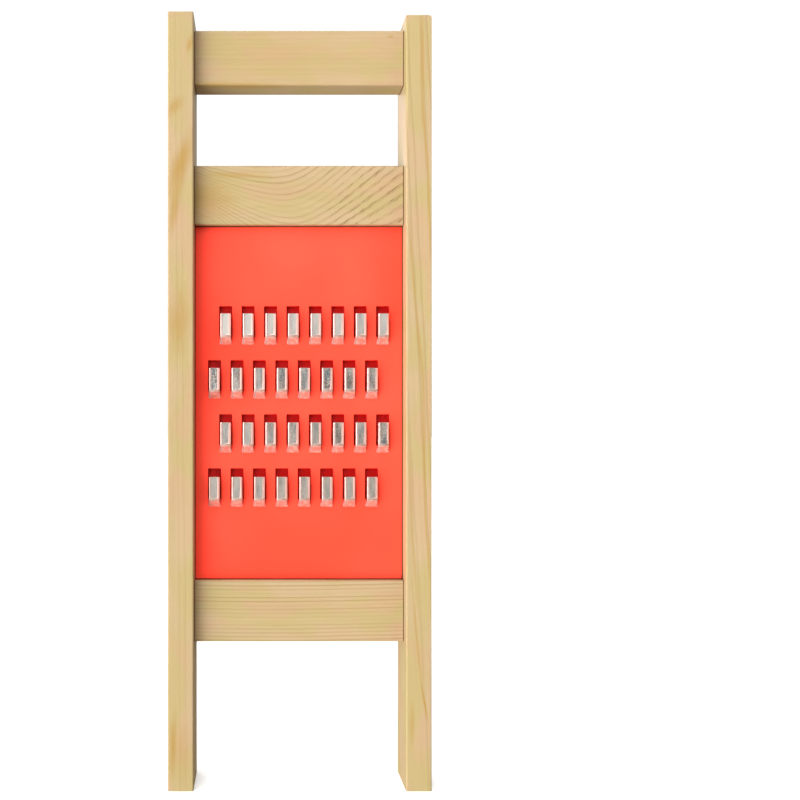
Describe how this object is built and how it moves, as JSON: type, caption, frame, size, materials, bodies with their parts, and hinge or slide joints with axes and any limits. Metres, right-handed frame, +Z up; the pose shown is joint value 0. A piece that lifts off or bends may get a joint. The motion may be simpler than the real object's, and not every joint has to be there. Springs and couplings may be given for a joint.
{
  "type": "washboard",
  "caption": "Pine-framed hand washboard on two legs, with a finger gap under its top rail and a red plate carrying staggered rows of raised steel teeth.",
  "frame": {"origin": "middle of the footprint of the two feet, on the surface the board stands on", "axes": "+Z up along the uprights, +X to the right seen from the toothed side, -Y out of the toothed side"},
  "size_m": [0.185, 0.036, 0.546],
  "materials": {
    "pine": "planed, unvarnished",
    "red_plate": "satin gloss",
    "tooth_steel": "pressed and lightly worn",
    "screw_steel": "yellow zinc"
  },
  "bodies": {
    "root": {"left_stile": "pine", "right_stile": "pine", "top_rail": "pine", "upper_rail": "pine", "lower_rail": "pine", "rubbing_plate": "red_plate", "left_screws": "screw_steel", "right_screws": "screw_steel", "tooth_r1_c1": "tooth_steel", "tooth_r1_c2": "tooth_steel", "tooth_r1_c3": "tooth_steel", "tooth_r1_c4": "tooth_steel", "tooth_r1_c5": "tooth_steel", "tooth_r1_c6": "tooth_steel", "tooth_r1_c7": "tooth_steel", "tooth_r1_c8": "tooth_steel", "tooth_r2_c1": "tooth_steel", "tooth_r2_c2": "tooth_steel", "tooth_r2_c3": "tooth_steel", "tooth_r2_c4": "tooth_steel", "tooth_r2_c5": "tooth_steel", "tooth_r2_c6": "tooth_steel", "tooth_r2_c7": "tooth_steel", "tooth_r2_c8": "tooth_steel", "tooth_r3_c1": "tooth_steel", "tooth_r3_c2": "tooth_steel", "tooth_r3_c3": "tooth_steel", "tooth_r3_c4": "tooth_steel", "tooth_r3_c5": "tooth_steel", "tooth_r3_c6": "tooth_steel", "tooth_r3_c7": "tooth_steel", "tooth_r3_c8": "tooth_steel", "tooth_r4_c1": "tooth_steel", "tooth_r4_c2": "tooth_steel", "tooth_r4_c3": "tooth_steel", "tooth_r4_c4": "tooth_steel", "tooth_r4_c5": "tooth_steel", "tooth_r4_c6": "tooth_steel", "tooth_r4_c7": "tooth_steel", "tooth_r4_c8": "tooth_steel"}
  },
  "joints": []
}
